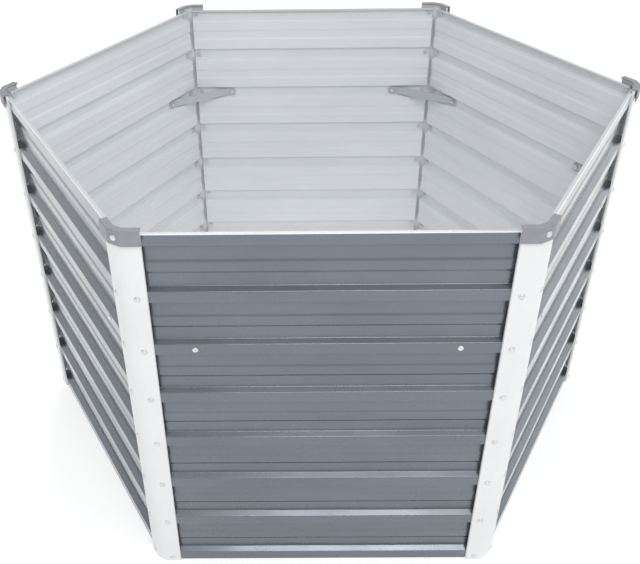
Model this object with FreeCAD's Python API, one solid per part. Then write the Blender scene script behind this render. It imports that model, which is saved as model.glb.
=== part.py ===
import FreeCAD, Part

import math
import os

from FreeCAD import Vector

# Six-sided raised garden bed of corrugated steel, open at the top and at the bottom.
# Millimetres, +Z up. The origin is the centre of the footprint on the ground.
# "Out" is a distance outward from the plane of a panel's rib faces, and "along" is a
# distance in that plane from the corner where two neighbouring planes meet.

side_names = ["front", "front_right", "back_right", "back", "back_left", "front_left"]
corner_names = ["front_right", "right", "back_right", "back_left", "left", "front_left"]
front_angle = -90.0

# Plan
corner_radius = 640.0
panel_height = 757.0

# Corrugated panel: narrow ribs stand outward, and wide flats lie between them
panel_sheet = 0.8
rib_count = 8
rib_face = 21.0
rib_depth = 10.0
rib_slope = 6.0
stiffener_face = 16.0
stiffener_slope = 5.0
stiffener_depth = 2.0
rim_return = 7.8
rim_lip = 4.5
panel_end_clearance = 0.8
corner_slit = 8.5

# Corner post: one sheet bent round the corner, its edges turned in against the ribs
post_sheet = 1.5
post_reach = 37.5
post_inner_bend = 33.5
post_standoff = 3.5
post_rise = 8.0

# Moulded cap over the top of a post: two arms and a flat face across the corner
cap_face = 24.0
cap_wall = 2.2
cap_plate = 3.0
cap_skirt = 26.0
cap_head_clearance = 0.7
cap_overhang = 1.0
cap_lip_drop = 9.0
cap_lip_clearance = 0.7
cap_chamfer = 1.0

# Flat brace across each corner, inside the bed, its ears lying in one rib
brace_sheet = 2.5
brace_rib_index = 5
brace_side_clearance = 0.5
brace_hole_along = 103.5
brace_hole_to_end = 10.5
brace_hole_to_bend = 13.0
brace_ear_chamfer = 5.0

# Low-headed bolts with a square neck, nuts on the inside, and screws in the caps
bolt_along = 21.0
bolt_head_width = 10.5
bolt_head_height = 2.6
bolt_head_side_count = 6
bolt_neck = 6.0
bolt_neck_clearance = 0.2
nut_width = 10.0
nut_height = 5.0
nut_side_count = 6
screw_point = 3.0

tiny = 1e-6
up = Vector(0, 0, 1)

turn = 360.0 / len(side_names)
half_turn = math.radians(turn / 2)
apothem = corner_radius * math.cos(half_turn)
side_length = 2 * corner_radius * math.sin(half_turn)
rib_pitch = (panel_height - rib_face) / (rib_count - 1)

# All bent skins of a corner share one bend axis; this is the bend of the rib plane.
plane_bend = post_inner_bend - post_standoff
bend_axis = corner_radius - plane_bend / math.cos(half_turn)
bend_along = plane_bend * math.tan(half_turn)
crown = bend_axis + plane_bend
post_out = post_standoff + post_sheet
post_height = panel_height + post_rise

# A panel ends where it clears the inside of the post and leaves the slit to its neighbour.
clear_bend = post_inner_bend - panel_end_clearance
end_by_post = bend_along - math.sqrt(max(0.0, clear_bend ** 2 - plane_bend ** 2))
panel_inward = max(rib_depth + panel_sheet, rim_return)
end_by_slit = panel_inward * math.tan(half_turn) + corner_slit / 2 / math.cos(half_turn)
panel_end = max(end_by_post, end_by_slit)

cap_skirt_in = post_out + bolt_head_height + cap_head_clearance
cap_out = cap_skirt_in + cap_wall
cap_lip_out = -rim_return - cap_lip_clearance
cap_in = cap_lip_out - cap_wall
cap_reach = post_reach + cap_overhang
cap_top = post_height + cap_plate
cap_face_along = (cap_face / 2 - cap_out * math.sin(half_turn)) / math.cos(half_turn)
cap_crown = corner_radius - cap_face_along * math.sin(half_turn) + cap_out * math.cos(half_turn)
screw_height = cap_top - cap_skirt / 2
bolt_hole = bolt_neck + 2 * bolt_neck_clearance


def rib_middle(index):
    """Height of a rib's middle; rib 0 stands on the ground."""
    return rib_face / 2 + index * rib_pitch


def turned(shape, angle):
    """The shape turned about the upright axis through the origin."""
    return shape.rotated(Vector(), up, angle)


def on_panel(piece, along, heights, ends=(-1, 1)):
    """Copies of a piece, beside the corners at the ends of the panel that faces +X."""
    across = side_length / 2 - along
    return [piece.translated(Vector(0, end * across, height))
            for end in ends for height in heights]


def at_corner(piece, along, heights):
    """Copies of a piece, on both of the panels that meet at the corner on +X."""
    return [turned(copy, -end * turn / 2)
            for end in (-1, 1) for copy in on_panel(piece, along, heights, [end])]


def all_round(pieces, first_angle):
    """One list of copies of the pieces for every side of the bed."""
    return [[turned(piece, first_angle + index * turn) for piece in pieces]
            for index in range(len(side_names))]


def thicken(line, thickness):
    """Closed outline of a sheet with one skin on the line and the other to its left."""
    normals = []
    for start, end in zip(line, line[1:]):
        length = math.hypot(end[0] - start[0], end[1] - start[1])
        normals.append((-(end[1] - start[1]) / length, (end[0] - start[0]) / length))
    far_skin = []
    for point, before, after in zip(line, normals[:1] + normals, normals + normals[-1:]):
        spread = 1 + before[0] * after[0] + before[1] * after[1]
        far_skin.append((point[0] + thickness * (before[0] + after[0]) / spread,
                         point[1] + thickness * (before[1] + after[1]) / spread))
    return line + far_skin[::-1]


def square_bar(low, high, width):
    """Square bar along X from low to high, centred on the X axis."""
    return Part.makeBox(high - low, width, width, Vector(low, -width / 2, -width / 2))


def regular_wire(width, flats, x):
    """Regular polygon across X, as wide across its flats as width."""
    radius = width / 2 / math.cos(math.pi / flats)
    corners = []
    for index in range(flats + 1):
        angle = math.radians(360.0 * (index + 0.5) / flats)
        corners.append(Vector(x, radius * math.sin(angle), radius * math.cos(angle)))
    return Part.makePolygon(corners)


def panel_skin():
    """Outer skin of a panel from the ground up, as (out, height)."""
    half_step = stiffener_face / 2
    half_foot = half_step + stiffener_slope
    line = [(0.0, 0.0)]
    for index in range(rib_count - 1):
        low = rib_middle(index) + rib_face / 2
        high = rib_middle(index + 1) - rib_face / 2
        middle = (low + high) / 2
        line += [(0.0, low), (-rib_depth, low + rib_slope),
                 (-rib_depth, middle - half_foot),
                 (stiffener_depth - rib_depth, middle - half_step),
                 (stiffener_depth - rib_depth, middle + half_step),
                 (-rib_depth, middle + half_foot),
                 (-rib_depth, high - rib_slope), (0.0, high)]
    rim = [(0.0, panel_height), (-rim_return, panel_height),
           (-rim_return, panel_height - rim_lip)]
    return line + rim


def make_panel():
    """Corrugated panel facing +X, its rim folded inward and down."""
    start = panel_end - side_length / 2
    outline = [Vector(apothem + out, start, height)
               for out, height in thicken(panel_skin(), panel_sheet)]
    panel = Part.Face(Part.makePolygon(outline + outline[:1])).extrude(Vector(0, -2 * start, 0))
    hole = square_bar(apothem - rib_depth, apothem + rib_depth, bolt_hole)
    return panel.cut(on_panel(hole, bolt_along, bolt_heights)
                     + on_panel(hole, brace_hole_along, [rib_middle(brace_rib_index)]))


def corner_point(along, out, side):
    """Plan point beside the corner on +X, on its side of +Y or -Y."""
    x = corner_radius - along * math.sin(half_turn) + out * math.cos(half_turn)
    y = along * math.cos(half_turn) + out * math.sin(half_turn)
    return x, side * y


def out_of(point):
    """How far out a point beside the corner on +X lies from its own panel's rib plane."""
    return point.x * math.cos(half_turn) + abs(point.y) * math.sin(half_turn) - apothem


def straight(start, end):
    """Straight edge between two plan points."""
    return Part.LineSegment(Vector(*start), Vector(*end)).toShape()


def bent_run(out, reach):
    """Edges that follow the corner on +X at one distance out: straight, bend, straight."""
    tangents = [corner_point(bend_along, out, side) for side in (1, -1)]
    bend = Part.Arc(Vector(*tangents[0]), Vector(crown + out, 0), Vector(*tangents[1]))
    return [straight(corner_point(reach, out, 1), tangents[0]), bend.toShape(),
            straight(tangents[1], corner_point(reach, out, -1))]


def upright(edges, bottom, top):
    """Solid over a closed outline in plan, from bottom to top."""
    face = Part.Face(Part.Wire(Part.__sortEdges__(edges)))
    return face.extrude(up * (top - bottom)).translated(up * bottom)


def loop(points):
    """Closed run of straight edges through plan points."""
    return [straight(start, end) for start, end in zip(points, points[1:] + points[:1])]


def cap_line(out):
    """Plan points of a cap's skin on +X: an arm's end, the face across the corner, an end."""
    face_x = cap_crown - cap_out + out
    face_along = (corner_radius + out * math.cos(half_turn) - face_x) / math.sin(half_turn)
    return [corner_point(along, out, side)
            for along, side in ((cap_reach, 1), (face_along, 1), (face_along, -1), (cap_reach, -1))]


def cap_strip(low_out, high_out, bottom, top):
    """Upright strip of the cap on +X between two distances out."""
    return upright(loop(cap_line(low_out) + cap_line(high_out)[::-1]), bottom, top)


def make_post():
    """Corner post on +X, each long edge turned in until it meets the ribs."""
    inner_reach = post_reach - post_sheet
    edges = bent_run(post_out, post_reach) + bent_run(post_standoff, inner_reach)
    for side in (1, -1):
        turned_edge = [corner_point(post_reach, post_out, side),
                       corner_point(post_reach, 0, side),
                       corner_point(inner_reach, 0, side),
                       corner_point(inner_reach, post_standoff, side)]
        edges += [straight(start, end) for start, end in zip(turned_edge, turned_edge[1:])]
    post = upright(edges, 0, post_height)
    hole = square_bar(apothem - rib_depth, apothem + rib_depth, bolt_hole)
    screw_hole = square_bar(crown, cap_crown, bolt_hole).translated(up * screw_height)
    return post.cut(at_corner(hole, bolt_along, bolt_heights) + [screw_hole])


def make_cap():
    """Moulded cap: a plate on the post, a deep skirt outside and a short lip inside."""
    plate = cap_strip(cap_in, cap_out, post_height, cap_top)
    skirt = cap_strip(cap_skirt_in, cap_out, cap_top - cap_skirt, cap_top)
    lip = cap_strip(cap_in, cap_lip_out, post_height - cap_lip_drop, cap_top)
    cap = plate.fuse([skirt, lip]).removeSplitter()
    top_edges = [edge for edge in cap.Edges if edge.BoundBox.ZMin > cap_top - tiny]
    outer_edges = [edge for edge in top_edges
                   if all(abs(out_of(vertex.Point) - cap_out) < tiny for vertex in edge.Vertexes)]
    cap = cap.makeChamfer(cap_chamfer, outer_edges)
    screw_hole = square_bar(crown, cap_crown + cap_wall, bolt_hole)
    return cap.cut(screw_hole.translated(up * screw_height))


def make_brace():
    """Flat strap across the corner on +X, both ears bent to lie against the ribs."""
    ear_end = brace_hole_along + brace_hole_to_end
    bend = brace_hole_along - brace_hole_to_bend
    line = [corner_point(along, -panel_sheet, side)
            for along, side in ((ear_end, -1), (bend, -1), (bend, 1), (ear_end, 1))]
    middle = rib_middle(brace_rib_index)
    brace = upright(loop(thicken(line, brace_sheet)),
                    middle - brace_width / 2, middle + brace_width / 2)
    ear_corners = [edge for edge in brace.Edges if abs(edge.Length - brace_sheet) < tiny]
    brace = brace.makeChamfer(brace_ear_chamfer, ear_corners)
    hole = square_bar(apothem - rib_depth, apothem + rib_depth, bolt_hole)
    return brace.cut(at_corner(hole, brace_hole_along, [middle]))


def make_bolt(seat, end):
    """Bolt along X: a low pointed head outside its seat and a square neck inward to its end."""
    rim = regular_wire(bolt_head_width, bolt_head_side_count, seat)
    point = Part.Vertex(seat + bolt_head_height, 0, 0)
    head = Part.makeLoft([rim, point], True, True)
    return head.fuse(square_bar(end, seat, bolt_neck)).removeSplitter()


def make_nut(seat):
    """Closed nut along X, inward from its seat."""
    face = Part.Face(regular_wire(nut_width, nut_side_count, seat))
    return face.extrude(Vector(-nut_height, 0, 0))


def save(name, solids):
    """Writes one node's file."""
    Part.makeCompound(solids).exportStep(os.path.join("parts", name + ".step"))


# The floor of a rib's groove is narrower than its face by the sheet's two bends.
slope_angle = math.atan2(rib_depth, rib_slope)
groove_floor = rib_face - 2 * panel_sheet * math.tan(slope_angle / 2)
brace_width = groove_floor - 2 * brace_side_clearance
bolt_heights = [rib_middle(index) for index in range(rib_count)]
corner_angle = front_angle + turn / 2

os.makedirs("parts", exist_ok=True)

for name, solids in zip(side_names, all_round([make_panel()], front_angle)):
    save("panel_" + name, solids)

for name, solids in zip(corner_names, all_round([make_post()], corner_angle)):
    save("post_" + name, solids)

for name, solids in zip(corner_names, all_round([make_brace()], corner_angle)):
    save("brace_" + name, solids)

post_bolts = on_panel(make_bolt(apothem + post_out, apothem - panel_sheet),
                      bolt_along, bolt_heights)
post_nuts = on_panel(make_nut(apothem - panel_sheet), bolt_along, bolt_heights)
brace_grip = apothem - panel_sheet - brace_sheet
brace_bolts = on_panel(make_bolt(apothem, brace_grip), brace_hole_along, [rib_middle(brace_rib_index)])
brace_nuts = on_panel(make_nut(brace_grip), brace_hole_along, [rib_middle(brace_rib_index)])
cap_screw = make_bolt(cap_crown, crown + post_standoff - screw_point)

for name, solids, angle in (
        ("post_bolts", post_bolts, front_angle), ("post_nuts", post_nuts, front_angle),
        ("brace_bolts", brace_bolts, front_angle), ("brace_nuts", brace_nuts, front_angle),
        ("cap_screws", [cap_screw.translated(up * screw_height)], corner_angle),
        ("corner_caps", [make_cap()], corner_angle)):
    save(name, sum(all_round(solids, angle), []))
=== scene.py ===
import math

import bpy
import numpy as np
from mathutils import Matrix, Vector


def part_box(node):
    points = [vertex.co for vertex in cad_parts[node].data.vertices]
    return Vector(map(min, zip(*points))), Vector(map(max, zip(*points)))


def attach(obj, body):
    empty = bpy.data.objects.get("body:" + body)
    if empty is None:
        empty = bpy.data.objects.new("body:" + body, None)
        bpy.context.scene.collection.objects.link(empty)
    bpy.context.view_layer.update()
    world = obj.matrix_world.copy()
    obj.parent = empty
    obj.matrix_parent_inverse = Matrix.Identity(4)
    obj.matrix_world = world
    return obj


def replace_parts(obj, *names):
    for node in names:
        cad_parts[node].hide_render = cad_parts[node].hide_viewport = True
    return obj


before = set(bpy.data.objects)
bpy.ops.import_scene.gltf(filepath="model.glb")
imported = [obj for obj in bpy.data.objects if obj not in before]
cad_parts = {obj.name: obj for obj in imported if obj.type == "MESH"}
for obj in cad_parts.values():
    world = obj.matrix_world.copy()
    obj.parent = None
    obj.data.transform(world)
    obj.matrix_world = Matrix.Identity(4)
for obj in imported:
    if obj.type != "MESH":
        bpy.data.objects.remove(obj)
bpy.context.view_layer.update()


def corners(box):
    """A box's two corners as plain lists of numbers."""
    return [[float(value) for value in corner] for corner in box]


# Metres. "Out" is measured outward from the plane of a panel's rib faces, and "along"
# in that plane from the corner where two neighbouring planes meet.
MM = 0.001
TINY = 1e-7
SIDES = ["front", "front_right", "back_right", "back", "back_left", "front_left"]
CORNERS = ["front_right", "right", "back_right", "back_left", "left", "front_left"]
TURN = math.radians(360 / len(SIDES))
FRONT_ANGLE = math.radians(-90)
CORNER_ANGLE = FRONT_ANGLE + TURN / 2

panel_low, panel_high = corners(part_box("panel_front"))
apothem = -panel_low[1]
corner_radius = apothem / math.cos(TURN / 2)
side_length = 2 * corner_radius * math.sin(TURN / 2)
panel_height = panel_high[2]
panel_half = panel_high[0]
post_height = corners(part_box("post_front_left"))[1][2]
cap_low, cap_high = corners(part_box("corner_caps"))
cap_out = -cap_low[1] - apothem
cap_crown = cap_high[0]
cap_bottom, cap_top = cap_low[2], cap_high[2]

# Corrugated panel
PANEL_SHEET = 0.8 * MM
RIB_COUNT = 8
RIB_FACE = 21 * MM
RIB_DEPTH = 10 * MM
RIB_SLOPE = 6 * MM
STIFFENER_FACE = 16 * MM
STIFFENER_SLOPE = 5 * MM
STIFFENER_DEPTH = 2 * MM
RIM_RETURN = 7.8 * MM
RIM_LIP = 4.5 * MM
RIM_FOLD = 1.4 * MM
CREASE_RADIUS = 2.0 * MM
STIFFENER_RADIUS = 6.0 * MM
PANEL_STATIONS = 40
PANEL_WAVE = 0.25 * MM
WAVE_FADE = 60 * MM

# Corner post
POST_SHEET = 1.5 * MM
POST_REACH = 37.5 * MM
POST_STANDOFF = 3.5 * MM
POST_EDGE_RADIUS = 2.2 * MM
PLANE_BEND = 30 * MM

# Cap
CAP_WALL = 2.2 * MM
CAP_PLATE = 3.0 * MM
CAP_REACH = 38.5 * MM
CAP_INSIDE = 3.0 * MM
CAP_ROUND = 1.6 * MM
CAP_INNER_ROUND = 0.8 * MM
CAP_EDGE_ROUND = CAP_WALL / 4
CAP_BEND_OUT = 9.0 * MM
CAP_BEND_IN = 3.0 * MM

# Brace
BRACE_SHEET = 2.5 * MM
BRACE_RIB = 5
BRACE_WIDTH = 19.0 * MM
BRACE_HOLE_ALONG = 103.5 * MM
BRACE_HOLE_TO_END = 10.5 * MM
BRACE_HOLE_TO_BEND = 13.0 * MM
BRACE_BEND = 5.0 * MM
BRACE_TIP = 0.4 * MM
BRACE_END_STEPS = 8

# Fasteners
BOLT_ALONG = 21 * MM
HEAD_RADIUS = 5.25 * MM
HEAD_HEIGHT = 2.6 * MM
HEAD_RIM = 0.35 * MM
HEAD_TIP = 0.15 * MM
HEAD_STEPS = 7
NUT_WIDTH = 10 * MM
NUT_HEIGHT = 4.2 * MM
NUT_CHAMFER = 0.6 * MM
BOLT_END = 5.0 * MM
BOLT_RADIUS = 3.0 * MM
BOLT_CHAMFER = 0.5 * MM
BOLT_SUNK = 0.1 * MM
BOLT_SIDES = 14

rib_pitch = (panel_height - RIB_FACE) / (RIB_COUNT - 1)
post_out = POST_STANDOFF + POST_SHEET


def rib_middle(index):
    """Height of a rib's middle; rib 0 stands on the ground."""
    return RIB_FACE / 2 + index * rib_pitch


# ---------------------------------------------------------------- mesh helpers

def rounded(points, radii, step=math.radians(12)):
    """Line through the points with an arc at each inner one: its places and left normals."""
    points = [np.array(point, float) for point in points]
    places, normals = [], []
    ways = [(end - start) / np.linalg.norm(end - start) for start, end in zip(points, points[1:])]
    lefts = [np.array((-way[1], way[0])) for way in ways]
    places.append(points[0])
    normals.append(lefts[0])
    for index, radius in enumerate(radii, 1):
        before, after = ways[index - 1], ways[index]
        angle = math.atan2(before[0] * after[1] - before[1] * after[0], before.dot(after))
        bend = math.copysign(radius, angle)
        start = points[index] - before * abs(bend * math.tan(angle / 2))
        centre = start + lefts[index - 1] * bend
        count = max(1, math.ceil(abs(angle) / step))
        for part in range(count + 1):
            spin = angle * part / count
            left = lefts[index - 1]
            normal = np.array((left[0] * math.cos(spin) - left[1] * math.sin(spin),
                               left[0] * math.sin(spin) + left[1] * math.cos(spin)))
            places.append(centre - normal * bend)
            normals.append(normal)
    places.append(points[-1])
    normals.append(lefts[-1])
    return np.array(places), np.array(normals)


def turned(vertices, angle):
    """Vertices turned about the upright axis."""
    spin = np.array(((math.cos(angle), math.sin(angle), 0),
                     (-math.sin(angle), math.cos(angle), 0), (0, 0, 1)))
    return np.asarray(vertices) @ spin


def joined(shapes):
    """One shape from several. A shape is its vertices, faces and the faces' materials."""
    vertices, faces, kinds, base = [], [], [], 0
    for shape_vertices, shape_faces, shape_kinds in shapes:
        vertices.append(shape_vertices)
        faces += [tuple(base + index for index in face) for face in shape_faces]
        kinds += shape_kinds
        base += len(shape_vertices)
    return np.concatenate(vertices), faces, kinds


def moved(shape, angle=0.0, shift=(0, 0, 0)):
    """The shape shifted, and then turned about the upright axis."""
    vertices, faces, kinds = shape
    return turned(vertices + np.array(shift), angle), faces, kinds


def sheet(outer, inner, row_kinds=None):
    """Closed sheet between two grids of places of one size, with the outer rows' materials."""
    rows, columns = outer.shape[:2]
    count = rows * columns
    vertices = np.concatenate((outer.reshape(-1, 3), inner.reshape(-1, 3)))

    def at(row, column, skin):
        return skin * count + row * columns + column

    faces, kinds = [], []
    for row in range(rows - 1):
        for column in range(columns - 1):
            for skin in (0, 1):
                quad = (at(row, column, skin), at(row, column + 1, skin),
                        at(row + 1, column + 1, skin), at(row + 1, column, skin))
                faces.append(quad if skin else quad[::-1])
                kinds.append(skin or (row_kinds[row] if row_kinds else 0))
    border = [(0, column) for column in range(columns)]
    border += [(row, columns - 1) for row in range(1, rows)]
    border += [(rows - 1, column) for column in range(columns - 2, -1, -1)]
    border += [(row, 0) for row in range(rows - 2, 0, -1)]
    for (row, column), (next_row, next_column) in zip(border, border[1:] + border[:1]):
        faces.append((at(row, column, 0), at(next_row, next_column, 0),
                      at(next_row, next_column, 1), at(row, column, 1)))
        kinds.append(0)
    return vertices, faces, kinds


def swept(section_rings):
    """Closed solid through rings of equal count, with flat ends."""
    rings = len(section_rings)
    count = len(section_rings[0])
    faces = []
    for ring in range(rings - 1):
        for index in range(count):
            other = (index + 1) % count
            faces.append((ring * count + index, ring * count + other,
                          (ring + 1) * count + other, (ring + 1) * count + index))
    faces.append(tuple(range(count - 1, -1, -1)))
    faces.append(tuple((rings - 1) * count + index for index in range(count)))
    return np.concatenate(section_rings), faces, [0] * len(faces)


def piece(name, shape, materials, sharp=math.radians(35)):
    """Object of a shape, riding on the bed."""
    vertices, faces, kinds = shape
    mesh = bpy.data.meshes.new(name)
    mesh.from_pydata([tuple(vertex) for vertex in vertices], [], faces)
    for material in materials:
        mesh.materials.append(material)
    mesh.polygons.foreach_set("material_index", [min(kind, len(materials) - 1) for kind in kinds])
    mesh.polygons.foreach_set("use_smooth", [True] * len(mesh.polygons))
    mesh.set_sharp_from_angle(angle=sharp)
    mesh.update()
    thing = bpy.data.objects.new(name, mesh)
    bpy.context.scene.collection.objects.link(thing)
    normals = thing.modifiers.new("even_normals", "WEIGHTED_NORMAL")
    normals.keep_sharp = True
    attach(thing, "root")
    return thing


# ------------------------------------------------------------------- materials

# Bump depths in metres, and the gloss of the paint's clear coat
ORANGE_PEEL = 0.01 * MM
PLASTIC_GRAIN = 0.06 * MM
PLATE_SCRATCH = 0.02 * MM
COAT_ROUGHNESS = 0.12
GLOSS_LOWER, GLOSS_UPPER = 0.05, 0.06


def add_node(tree, kind, settings=None, **inputs):
    """New shader node with its settings, and its inputs set or linked by name."""
    node = tree.nodes.new(kind)
    for name, value in (settings or {}).items():
        setattr(node, name, value)
    for name, value in inputs.items():
        socket = node.inputs[name.replace("_", " ")]
        if isinstance(value, bpy.types.NodeSocket):
            tree.links.new(value, socket)
        else:
            socket.default_value = value
    return node


def new_material(name, roughness, metallic=0.0, specular=0.5):
    """Material with a plain shader, its node tree and that shader."""
    material = bpy.data.materials.new(name)
    material.use_nodes = True
    tree = material.node_tree
    shader = tree.nodes["Principled BSDF"]
    shader.inputs["Roughness"].default_value = roughness
    shader.inputs["Metallic"].default_value = metallic
    shader.inputs["Specular IOR Level"].default_value = specular
    return material, tree, shader


def noise(tree, scale, detail=2.0, stretch=(1, 1, 1)):
    """Noise over the object's own places, in cycles per metre."""
    place = add_node(tree, "ShaderNodeTexCoord").outputs["Object"]
    mapping = add_node(tree, "ShaderNodeMapping", Vector=place, Scale=stretch)
    return add_node(tree, "ShaderNodeTexNoise", Vector=mapping.outputs["Vector"],
                    Scale=scale, Detail=detail, Roughness=0.55).outputs["Fac"]


def spread(tree, value, low, high, start=0.3, end=0.7):
    """A value from noise, spread evenly over a range."""
    return add_node(tree, "ShaderNodeMapRange", None, Value=value, From_Min=start,
                    From_Max=end, To_Min=low, To_Max=high).outputs["Result"]


def shaded(tree, shader, value, dark, light):
    """Base colour between a darker and a lighter tone by a value from 0 to 1."""
    mix = add_node(tree, "ShaderNodeMix", {"data_type": "RGBA"})
    tree.links.new(value, mix.inputs["Factor"])
    mix.inputs[6].default_value = (*dark, 1)
    mix.inputs[7].default_value = (*light, 1)
    tree.links.new(mix.outputs[2], shader.inputs["Base Color"])


def bumped(tree, shader, height, distance):
    """Bump from a value, as deep as distance in metres."""
    bump = add_node(tree, "ShaderNodeBump", None, Height=height, Distance=distance, Strength=1.0)
    tree.links.new(bump.outputs["Normal"], shader.inputs["Normal"])


def painted(name, dark, light, roughness, metallic=0.0, coat=0.0):
    """Paint on sheet steel: slow tone changes, uneven gloss and a fine orange peel."""
    material, tree, shader = new_material(name, roughness, metallic)
    shader.inputs["Coat Weight"].default_value = coat
    shader.inputs["Coat Roughness"].default_value = COAT_ROUGHNESS
    cloud = noise(tree, 4.0, 3.0, (1, 1, 2.5))
    shaded(tree, shader, spread(tree, cloud, 0, 1), dark, light)
    gloss = noise(tree, 14.0, 4.0)
    tree.links.new(spread(tree, gloss, roughness - GLOSS_LOWER, roughness + GLOSS_UPPER),
                   shader.inputs["Roughness"])
    bumped(tree, shader, noise(tree, 420.0, 2.0), ORANGE_PEEL)
    return material


def moulded(name, dark, light, roughness):
    """Moulded plastic with a fine even grain."""
    material, tree, shader = new_material(name, roughness)
    shaded(tree, shader, spread(tree, noise(tree, 60.0, 4.0), 0, 1), dark, light)
    bumped(tree, shader, noise(tree, 1500.0, 3.0), PLASTIC_GRAIN)
    return material


def plated(name, dark, light, roughness):
    """Bright zinc plate with faint clouds and fine scratches."""
    material, tree, shader = new_material(name, roughness, metallic=1.0)
    shaded(tree, shader, spread(tree, noise(tree, 120.0, 3.0), 0, 1), dark, light)
    bumped(tree, shader, noise(tree, 900.0, 2.0, (1, 1, 6)), PLATE_SCRATCH)
    return material


outside_paint = painted("outside_paint", (0.120, 0.140, 0.164), (0.141, 0.163, 0.190), 0.28, 0.6,
                        coat=0.7)
inside_coat = painted("inside_coat", (0.68, 0.70, 0.72), (0.73, 0.75, 0.77), 0.42)
# Painted highlight: the rim's top fold gets a near-white tone for the bright line of light along
# that bend, where the sheet really carries the dark outside paint
rim_painted_highlight = painted("rim_painted_highlight", (0.80, 0.82, 0.84), (0.84, 0.86, 0.88), 0.25)
# Painted light: the folded-in hem on top of the rim is given a pale tone instead of the outside
# paint it really carries, for the light falling on its upward face
rim_hem_painted_light = painted("rim_hem_painted_light", (0.54, 0.56, 0.58), (0.58, 0.60, 0.62), 0.2)
post_paint = painted("post_paint", (0.69, 0.71, 0.715), (0.735, 0.755, 0.76), 0.35)
cap_plastic = moulded("cap_plastic", (0.222, 0.231, 0.25), (0.258, 0.268, 0.288), 0.45)
brace_paint = painted("brace_paint", (0.42, 0.44, 0.46), (0.50, 0.52, 0.54), 0.38)
zinc = plated("zinc", (0.62, 0.63, 0.65), (0.71, 0.72, 0.74), 0.45)


# --------------------------------------------------------------------- panels

def panel_line():
    """Corners and crease radii of a panel's outer skin from the ground up, as (out, height)."""
    half_step = STIFFENER_FACE / 2
    half_foot = half_step + STIFFENER_SLOPE
    points, radii = [(0.0, 0.0)], []
    for index in range(RIB_COUNT - 1):
        low = rib_middle(index) + RIB_FACE / 2
        high = rib_middle(index + 1) - RIB_FACE / 2
        middle = (low + high) / 2
        points += [(0.0, low), (-RIB_DEPTH, low + RIB_SLOPE)]
        points += [(-RIB_DEPTH, middle - half_foot),
                   (STIFFENER_DEPTH - RIB_DEPTH, middle - half_step),
                   (STIFFENER_DEPTH - RIB_DEPTH, middle + half_step),
                   (-RIB_DEPTH, middle + half_foot)]
        points += [(-RIB_DEPTH, high - RIB_SLOPE), (0.0, high)]
        radii += [CREASE_RADIUS] * 2 + [STIFFENER_RADIUS] * 4 + [CREASE_RADIUS] * 2
    points += [(0.0, panel_height), (-RIM_RETURN, panel_height),
               (-RIM_RETURN, panel_height - RIM_LIP)]
    radii += [RIM_FOLD] * 2
    return points, radii


def panel_wave(out, height, along, phase):
    """Slight unevenness of the wide flats, none on the ribs and at the panel's ends."""
    depth = np.clip(-out / RIB_DEPTH, 0, 1)
    ends = np.clip((panel_half - np.abs(along)) / WAVE_FADE, 0, 1)
    wave = (np.sin(11 * along + 7 * height + phase) + np.sin(23 * along - 16 * height + 2 * phase)
            + 0.6 * np.sin(41 * along + 29 * height + 3 * phase))
    return PANEL_WAVE * depth * ends * wave / 2


def make_panel(phase):
    """Corrugated panel facing +X."""
    places, normals = rounded(*panel_line())
    inner_places = places + normals * PANEL_SHEET
    stations = np.linspace(-panel_half, panel_half, PANEL_STATIONS)
    skins = []
    for skin in (places, inner_places):
        out, along = np.meshgrid(skin[:, 0], stations, indexing="ij")
        height = np.meshgrid(skin[:, 1], stations, indexing="ij")[0]
        base_out = np.meshgrid(places[:, 0], stations, indexing="ij")[0]
        wave = panel_wave(base_out, height, along, phase)
        skins.append(np.stack((apothem + out + wave, along, height), axis=-1))
    # Rows on the rim's top fold (2) take the painted highlight, and rows on the folded-in hem (3)
    # take the pale painted-light tone; the rest of the outer skin is outside paint
    fold = RIM_FOLD - TINY
    row_kinds = [3 if out < -fold and height > panel_height - 2 * RIM_LIP
                 else 2 if height > panel_height - fold else 0 for out, height in places]
    return sheet(*skins, row_kinds)


for index, name in enumerate(SIDES):
    panel = piece("sheet_" + name, moved(make_panel(1.7 * index), FRONT_ANGLE + index * TURN),
                  [outside_paint, inside_coat, rim_painted_highlight, rim_hem_painted_light])
    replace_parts(panel, "panel_" + name)


# ---------------------------------------------------------------- posts, caps

def corner_place(along, out, side):
    """Plan place beside the corner on +X, on its side of +Y or -Y."""
    x = corner_radius - along * math.sin(TURN / 2) + out * math.cos(TURN / 2)
    y = along * math.cos(TURN / 2) + out * math.sin(TURN / 2)
    return x, side * y


def cap_line(out):
    """Line of a cap's skin on +X: an arm, the face across the corner, the other arm."""
    face_x = cap_crown - cap_out + out
    face_along = (corner_radius + out * math.cos(TURN / 2) - face_x) / math.sin(TURN / 2)
    points = [corner_place(CAP_REACH, out, -1), corner_place(face_along, out, -1),
              corner_place(face_along, out, 1), corner_place(CAP_REACH, out, 1)]
    share = (out + CAP_INSIDE) / (cap_out + CAP_INSIDE)
    bend = CAP_BEND_IN + share * (CAP_BEND_OUT - CAP_BEND_IN)
    return rounded(points, [bend, bend], math.radians(6))[0]


def make_post():
    """Bent post on the +X corner, its long edges turned in to the ribs."""
    middle = (corner_radius + post_out / math.cos(TURN / 2), 0.0)
    points = [corner_place(POST_REACH, 0, -1), corner_place(POST_REACH, post_out, -1), middle,
              corner_place(POST_REACH, post_out, 1), corner_place(POST_REACH, 0, 1)]
    radii = [POST_EDGE_RADIUS, PLANE_BEND + post_out, POST_EDGE_RADIUS]
    places, normals = rounded(points, radii, math.radians(5))
    heights = (0.0, post_height)
    skins = [np.stack([np.column_stack((skin, np.full(len(skin), height))) for height in heights],
                      axis=1)
             for skin in (places, places + normals * POST_SHEET)]
    return sheet(*skins)


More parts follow.
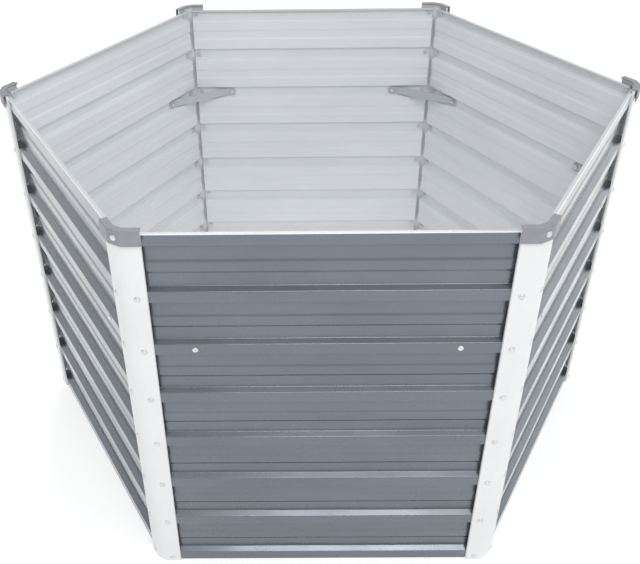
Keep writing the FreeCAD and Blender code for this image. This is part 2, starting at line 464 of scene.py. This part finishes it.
def make_cap():
    """Moulded cap on the +X corner: a plate on the post and a skirt outside it in one section."""
    skirt_in = cap_out - CAP_WALL
    under = cap_top - CAP_PLATE
    line, _ = rounded([(skirt_in, cap_bottom), (cap_out, cap_bottom), (cap_out, cap_top),
                       (-CAP_INSIDE, cap_top), (-CAP_INSIDE, under), (skirt_in, under)],
                      [CAP_EDGE_ROUND, CAP_ROUND, CAP_INNER_ROUND, CAP_EDGE_ROUND],
                      math.radians(20))
    skins = np.array([cap_line(out) for out in line[:, 0]])
    return swept([np.column_stack((skins[:, station], line[:, 1]))
                  for station in range(skins.shape[1])])


post_shape = make_post()
cap_shape = make_cap()
for index, name in enumerate(CORNERS):
    angle = CORNER_ANGLE + index * TURN
    post = piece("bent_post_" + name, moved(post_shape, angle), [post_paint])
    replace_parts(post, "post_" + name)
caps = [piece("cap_" + name, moved(cap_shape, CORNER_ANGLE + index * TURN), [cap_plastic]) for index, name in enumerate(CORNERS)]
for cap in caps:
    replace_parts(cap, "corner_caps")


# --------------------------------------------------------------------- braces

def make_brace():
    """Flat strap across the +X corner with round ends, both ears against the ribs."""
    end = BRACE_HOLE_ALONG + BRACE_HOLE_TO_END
    bend = BRACE_HOLE_ALONG - BRACE_HOLE_TO_BEND
    points = [corner_place(end, -PANEL_SHEET, -1), corner_place(bend, -PANEL_SHEET, -1),
              corner_place(bend, -PANEL_SHEET, 1), corner_place(end, -PANEL_SHEET, 1)]
    places, normals = rounded(points, [BRACE_BEND + BRACE_SHEET] * 2, math.radians(6))
    half = BRACE_WIDTH / 2
    ways = np.diff(places, axis=0)
    first, last = ways[0] / np.linalg.norm(ways[0]), ways[-1] / np.linalg.norm(ways[-1])
    ends = BRACE_END_STEPS + 1
    steps = [half * (1 - math.cos(math.pi / 2 * part / BRACE_END_STEPS)) for part in range(ends)]
    start = [places[0] + first * step for step in steps]
    finish = [places[-1] - last * step for step in steps[::-1]]
    path = np.array(start + list(places[1:-1]) + finish)
    lefts = np.array([normals[0]] * ends + list(normals[1:-1]) + [normals[-1]] * ends)
    rise = [math.sqrt(max(0.0, half ** 2 - (half - step) ** 2)) for step in steps]
    rise[0] = BRACE_TIP
    rises = np.array(rise + [half] * (len(places) - 2) + rise[::-1])
    middle = rib_middle(BRACE_RIB)
    skins = []
    for shift in (0.0, BRACE_SHEET):
        plan = path + lefts * shift
        skins.append(np.stack([np.column_stack((plan, middle + sign * rises))
                               for sign in (-1, 1)], axis=1))
    return sheet(*skins)


brace_shape = make_brace()
for index, name in enumerate(CORNERS):
    brace = piece("strap_" + name, moved(brace_shape, CORNER_ANGLE + index * TURN),
                  [brace_paint])
    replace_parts(brace, "brace_" + name)


# ------------------------------------------------------------------ fasteners

def lathed(profile, count=20):
    """Closed round solid about the X axis from (x, radius) places."""
    rings = []
    for x, radius in profile:
        angles = [2 * math.pi * index / count for index in range(count)]
        rings.append(np.array([(x, radius * math.cos(angle), radius * math.sin(angle))
                               for angle in angles]))
    return swept(rings)


def dome_head():
    """Domed bolt head, outward along X from its seat."""
    profile = [(0.0, HEAD_RADIUS), (HEAD_RIM, HEAD_RADIUS)]
    for part in range(1, HEAD_STEPS + 1):
        angle = math.pi / 2 * part / HEAD_STEPS
        profile.append((HEAD_RIM + (HEAD_HEIGHT - HEAD_RIM) * math.sin(angle),
                        max(HEAD_RADIUS * math.cos(angle), HEAD_TIP)))
    return lathed(profile)


def hex_ring(x, width):
    """Six corners across X."""
    radius = width / 2 / math.cos(math.pi / 6)
    return np.array([(x, radius * math.sin(math.radians(60 * index + 30)),
                      radius * math.cos(math.radians(60 * index + 30))) for index in range(6)])


def nut_shape():
    """Hexagon nut inward along X from its seat, with the bolt's end through it."""
    nut = swept([hex_ring(0.0, NUT_WIDTH), hex_ring(-NUT_HEIGHT + NUT_CHAMFER, NUT_WIDTH),
                 hex_ring(-NUT_HEIGHT, NUT_WIDTH - 2 * NUT_CHAMFER)][::-1])
    end = lathed([(-BOLT_END, BOLT_RADIUS - BOLT_CHAMFER), (-BOLT_END + BOLT_CHAMFER, BOLT_RADIUS),
                  (-NUT_HEIGHT + BOLT_SUNK, BOLT_RADIUS)], BOLT_SIDES)
    return joined([nut, end])


def around(shape, seat, along, heights):
    """Copies of a fastener on every panel, beside both of its corners."""
    across = side_length / 2 - along
    return joined([moved(shape, FRONT_ANGLE + index * TURN, (seat, side * across, height))
                   for index in range(len(SIDES)) for side in (-1, 1) for height in heights])


rib_heights = [rib_middle(index) for index in range(RIB_COUNT)]
brace_heights = [rib_middle(BRACE_RIB)]
dome, nut = dome_head(), nut_shape()
fasteners = {
    "post_bolts": around(dome, apothem + post_out, BOLT_ALONG, rib_heights),
    "post_nuts": around(nut, apothem - PANEL_SHEET, BOLT_ALONG, rib_heights),
    "brace_bolts": around(dome, apothem, BRACE_HOLE_ALONG, brace_heights),
    "brace_nuts": around(nut, apothem - PANEL_SHEET - BRACE_SHEET, BRACE_HOLE_ALONG,
                         brace_heights),
    "cap_screws": joined([moved(dome, CORNER_ANGLE + index * TURN,
                                (cap_crown, 0, (cap_bottom + cap_top) / 2))
                          for index in range(len(CORNERS))]),
}
for node, shape in fasteners.items():
    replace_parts(piece(node + "_shown", shape, [zinc]), node)


# ------------------------------------------------------- floor, light, camera

FLOOR_REACH = 30.0
FLOOR_GLOW = 0.42

floor_mesh = bpy.data.meshes.new("floor")
floor_mesh.from_pydata([(-FLOOR_REACH, -FLOOR_REACH, 0), (FLOOR_REACH, -FLOOR_REACH, 0),
                        (FLOOR_REACH, FLOOR_REACH, 0), (-FLOOR_REACH, FLOOR_REACH, 0)],
                       [], [(0, 1, 2, 3)])
floor = bpy.data.objects.new("floor", floor_mesh)
bpy.context.scene.collection.objects.link(floor)
floor_material, floor_tree, floor_shader = new_material("floor_white", 0.8, specular=0.1)
shaded(floor_tree, floor_shader, noise(floor_tree, 1.5), (0.78, 0.78, 0.78), (0.82, 0.82, 0.82))
floor_shader.inputs["Emission Color"].default_value = (1, 1, 1, 1)
floor_shader.inputs["Emission Strength"].default_value = FLOOR_GLOW
floor_mesh.materials.append(floor_material)

# The sky is a little darker overhead than at its sides, and brighter to the right
world = bpy.data.worlds.new("studio")
world.use_nodes = True
bpy.context.scene.world = world
sky_tree = world.node_tree
direction = add_node(sky_tree, "ShaderNodeTexCoord").outputs["Generated"]
parts = add_node(sky_tree, "ShaderNodeSeparateXYZ", Vector=direction).outputs
height_light = add_node(sky_tree, "ShaderNodeMapRange", {"interpolation_type": "SMOOTHSTEP"},
                        Value=parts["Z"], From_Min=0.5, From_Max=0.98, To_Min=0.80,
                        To_Max=0.62).outputs["Result"]
side_light = add_node(sky_tree, "ShaderNodeMapRange", None, Value=parts["X"], From_Min=-1.0,
                      From_Max=1.0, To_Min=0.84, To_Max=1.16).outputs["Result"]
sky_node = add_node(sky_tree, "ShaderNodeMath", {"operation": "MULTIPLY"})
sky_tree.links.new(height_light, sky_node.inputs[0])
sky_tree.links.new(side_light, sky_node.inputs[1])
sky_tree.links.new(sky_node.outputs[0], sky_tree.nodes["Background"].inputs["Strength"])
sky_tree.nodes["Background"].inputs["Color"].default_value = (1, 1, 1, 1)


def softbox(name, place, target, size, power, only_mirrored=False):
    """Square area light aimed at a place. One that is only mirrored lights no matt surface."""
    light = bpy.data.lights.new(name, "AREA")
    light.size = size
    light.energy = power
    thing = bpy.data.objects.new(name, light)
    bpy.context.scene.collection.objects.link(thing)
    away = np.array(place, float) - np.array(target, float)
    away /= np.linalg.norm(away)
    right = np.cross((0, 0, 1), away)
    right /= np.linalg.norm(right)
    above = np.cross(away, right)
    thing.matrix_world = Matrix([[*row, offset] for row, offset in
                                 zip(np.column_stack((right, above, away)).tolist(), place)]
                                + [[0, 0, 0, 1]])
    thing.visible_diffuse = not only_mirrored


softbox("front_top", (0.4, -2.9, 3.7), (0, 0, 0.4), 1.8, 60)
softbox("back_top", (0.0, 3.5, 3.8), (0, 0, 0.7), 2.5, 60)
softbox("card_left", (-3.2, 1.4, 1.9), (-0.5, -0.3, 0.4), 2.0, 6, only_mirrored=True)
softbox("card_right", (3.2, 1.4, 1.9), (0.5, -0.3, 0.4), 2.0, 11, only_mirrored=True)

# The camera as fitted to the corners of the rims and feet in the photograph
FRAME_WIDTH = 640
FOCAL_PIXELS = 838.38
CAMERA_PLACE = (-0.05705, -1.61733, 1.40472)
PITCH, YAW, ROLL = math.radians(34.656), math.radians(-0.521), math.radians(-0.721)
CENTRE_SHIFT = 34.0

forward = np.array((math.sin(YAW) * math.cos(PITCH), math.cos(YAW) * math.cos(PITCH),
                    -math.sin(PITCH)))
level = np.array((math.cos(YAW), -math.sin(YAW), 0))
above = np.cross(level, forward)
right = math.cos(ROLL) * level + math.sin(ROLL) * above
above = -math.sin(ROLL) * level + math.cos(ROLL) * above
camera_data = bpy.data.cameras.new("camera")
camera_data.sensor_width = 36
camera_data.lens = FOCAL_PIXELS / FRAME_WIDTH * camera_data.sensor_width
camera_data.shift_x = CENTRE_SHIFT / FRAME_WIDTH
camera = bpy.data.objects.new("camera", camera_data)
bpy.context.scene.collection.objects.link(camera)
camera.matrix_world = Matrix([[*row, offset] for row, offset in
                              zip(np.column_stack((right, above, -forward)).tolist(),
                                  CAMERA_PLACE)] + [[0, 0, 0, 1]])
bpy.context.scene.camera = camera
bpy.context.scene.view_settings.view_transform = "Standard"
